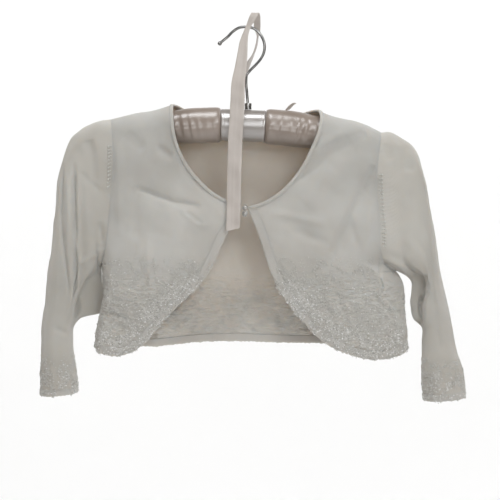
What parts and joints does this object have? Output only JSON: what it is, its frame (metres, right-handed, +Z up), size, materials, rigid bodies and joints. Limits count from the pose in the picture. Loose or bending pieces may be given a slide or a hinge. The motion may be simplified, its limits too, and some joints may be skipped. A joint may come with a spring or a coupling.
{
  "type": "cropped knitted cardigan on a padded hanger",
  "caption": "Child's cropped fine-knit cardigan with curved open fronts and long sleeves, hanging on a padded satin hanger with a wire hook and a ribbon.",
  "frame": {"origin": "inside top of the hanger's wire hook, where it rests on a rail", "axes": "+Z up, +X along the hanger to the right as the open front is seen, the garment's front faces -Y"},
  "size_m": [0.4627, 0.0559, 0.4169],
  "materials": {
    "ivory_knit": "fine ivory jersey knit",
    "knit_edging": "doubled ivory knit",
    "blush_satin": "padded satin",
    "blush_ribbon": "satin ribbon",
    "chromed_steel": "bright",
    "glass_beads": "clear faceted beads"
  },
  "bodies": {
    "root": {"front_left": "ivory_knit", "front_right": "ivory_knit", "back": "ivory_knit", "sleeve_left": "ivory_knit", "sleeve_right": "ivory_knit", "cuff_left": "knit_edging", "cuff_right": "knit_edging", "neck_binding_left": "knit_edging", "neck_binding_right": "knit_edging", "neck_binding_back": "knit_edging", "front_band_left": "knit_edging", "front_band_right": "knit_edging", "hem_band_back": "knit_edging", "fastening": "glass_beads", "hanger_arm_left": "blush_satin", "hanger_arm_right": "blush_satin", "hanger_middle_band": "blush_satin", "hanger_ferrule": "chromed_steel", "hanger_hook": "chromed_steel", "ribbon": "blush_ribbon", "ribbon_end": "blush_ribbon"}
  },
  "joints": []
}
